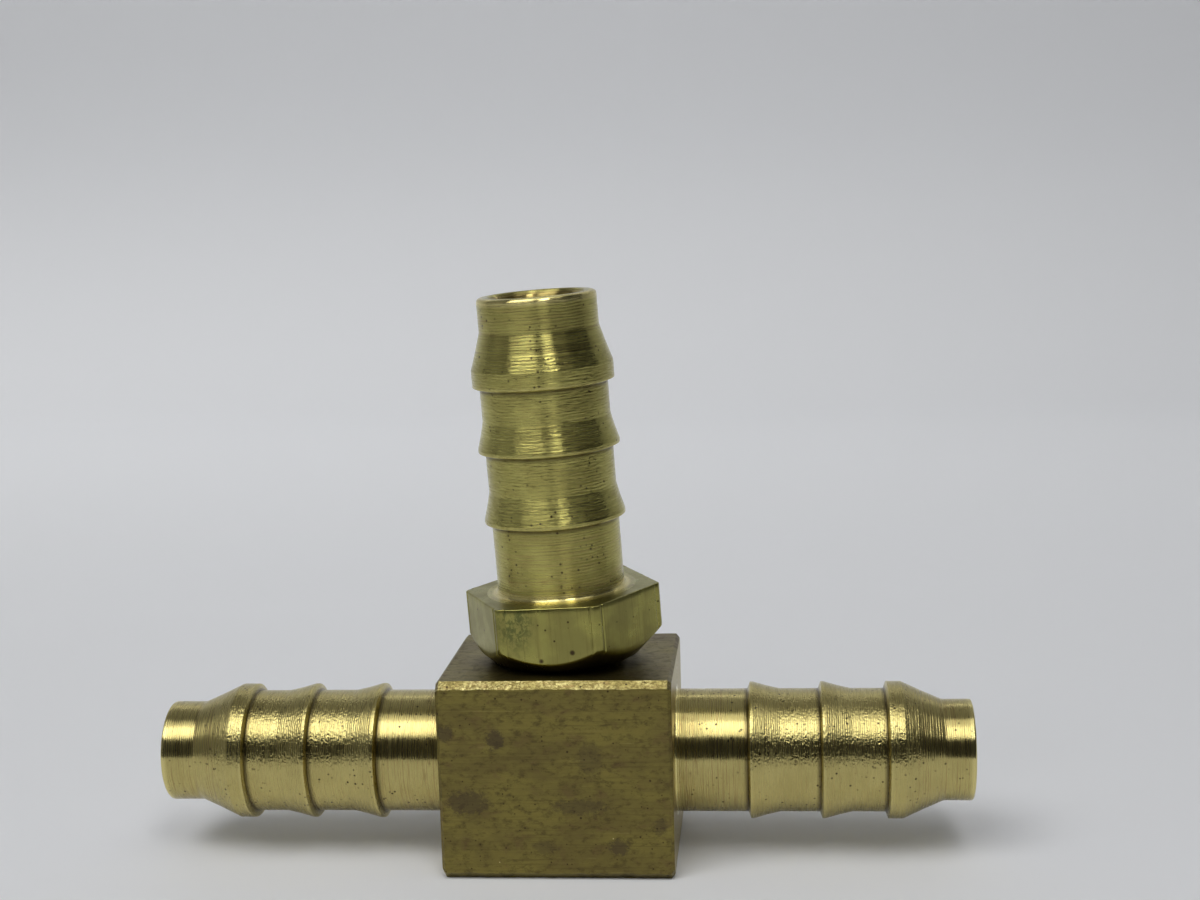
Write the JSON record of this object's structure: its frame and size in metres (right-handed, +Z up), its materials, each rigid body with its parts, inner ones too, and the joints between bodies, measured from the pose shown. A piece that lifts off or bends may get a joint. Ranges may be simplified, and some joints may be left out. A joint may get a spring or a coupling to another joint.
{
  "type": "hose barb tee",
  "caption": "Brass tee for hoses: a square block with a barbed hose tail at each end and a screwed-in barbed branch with a hexagon collar on top.",
  "frame": {"origin": "middle of the block's bottom face", "axes": "+X along the two tails in line, +Z up towards the branch"},
  "size_m": [0.0658, 0.016, 0.0457],
  "materials": {
    "body_brass": "drawn bar with tarnished flats and bright turned tails",
    "branch_brass": "turned, slightly dull"
  },
  "bodies": {
    "root": {"run_body": "body_brass", "branch_hose_tail": "branch_brass"}
  },
  "joints": []
}
